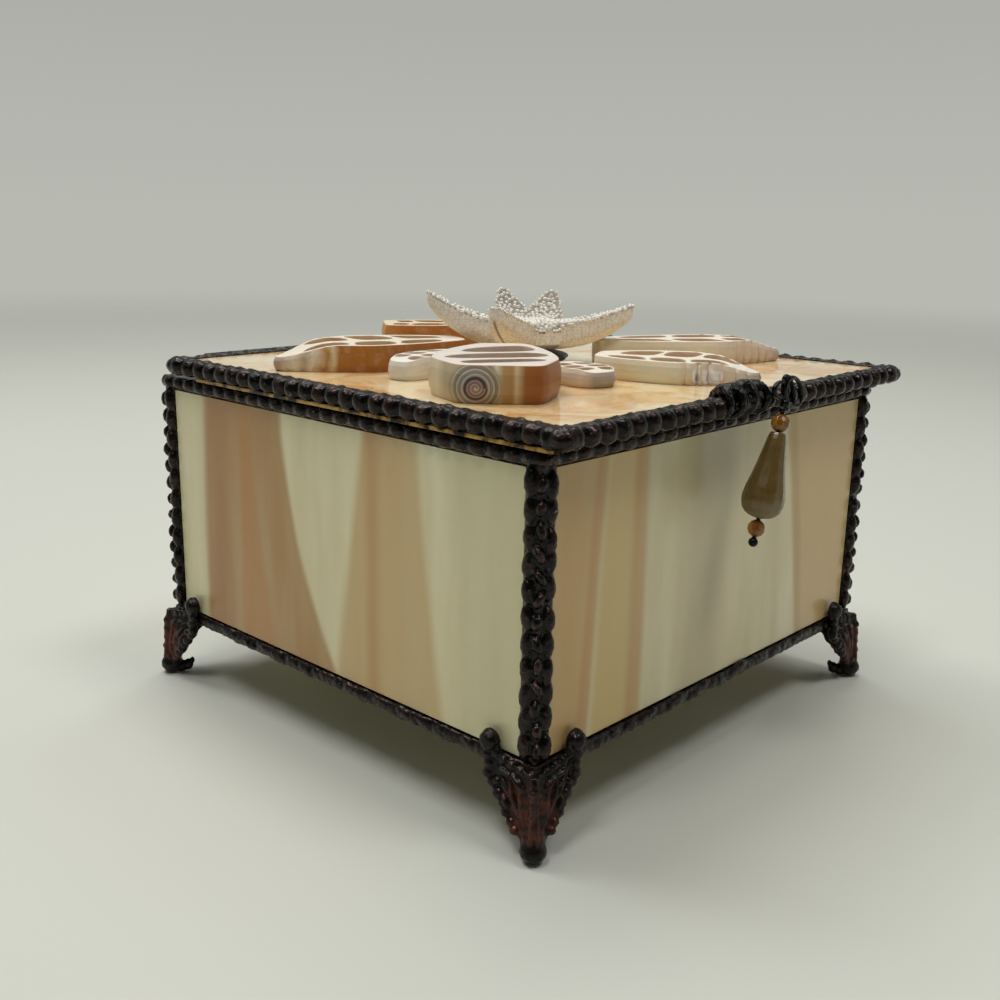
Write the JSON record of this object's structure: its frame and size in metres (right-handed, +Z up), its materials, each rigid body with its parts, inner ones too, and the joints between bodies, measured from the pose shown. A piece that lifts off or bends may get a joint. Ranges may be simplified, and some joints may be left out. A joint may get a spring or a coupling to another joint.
{
  "type": "jewelry box",
  "caption": "Square stained glass jewelry box with beaded metal edges on cast feet, a hinged glass lid set with cut shells and a starfish, and a beaded pull.",
  "frame": {"origin": "on the table under the middle of the whole part's bounding box, at the height of the soles", "axes": "+X to the right along the front, +Y from the front, where the pull hangs, to the hinge, +Z up"},
  "size_m": [0.1344, 0.1442, 0.0995],
  "materials": {
    "pane_glass": "opalescent streaked cream and amber sheet glass, polished",
    "lid_glass": "opalescent mottled tan sheet glass, polished",
    "patina": "soldered bead work under black patina, satin",
    "foot_metal": "cast foot under dark copper-brown patina, satin",
    "hinge_metal": "drawn tube and rod, darkened",
    "shell": "cut sea shell, cream, polished",
    "shell_tan": "cut sea shell, orange-brown, polished",
    "starfish": "dried starfish, off-white, rough",
    "pad": "dark glue pad, dull",
    "wire": "blackened wire",
    "amber": "amber glass bead, polished",
    "smoky": "smoky olive-brown faceted glass, polished"
  },
  "bodies": {
    "box": {"pane_front": "pane_glass", "rim_front": "patina", "base_front": "patina", "pane_right": "pane_glass", "rim_right": "patina", "base_right": "patina", "pane_back": "pane_glass", "rim_back": "patina", "base_back": "patina", "pane_left": "pane_glass", "rim_left": "patina", "base_left": "patina", "pane_bottom": "pane_glass", "post_front_left": "patina", "foot_front_left": "foot_metal", "post_front_right": "patina", "foot_front_right": "foot_metal", "post_back_right": "patina", "foot_back_right": "foot_metal", "post_back_left": "patina", "foot_back_left": "foot_metal", "hinge_rod": "hinge_metal"},
    "lid": {"lid_glass": "lid_glass", "hinge_tube": "hinge_metal", "lid_band_front": "patina", "lid_band_right": "patina", "lid_band_back": "patina", "lid_band_left": "patina", "shell_left": "shell_tan", "shell_back": "shell_tan", "shell_near": "shell", "shell_small_left": "shell", "shell_small_front": "shell", "shell_front": "shell", "shell_right": "shell", "starfish_pad": "pad", "starfish": "starfish", "pull_bead_top": "amber", "pull_drop": "smoky", "pull_bead_low": "amber", "pull_wire": "wire", "pull_winding": "wire"}
  },
  "joints": [
    {"name": "lid_hinge", "type": "hinge", "parent": "box", "child": "lid", "pos_m": [0, 0.06459, 0.0823], "axis": [-1, 0, 0], "range_deg": [0, 105]}
  ]
}
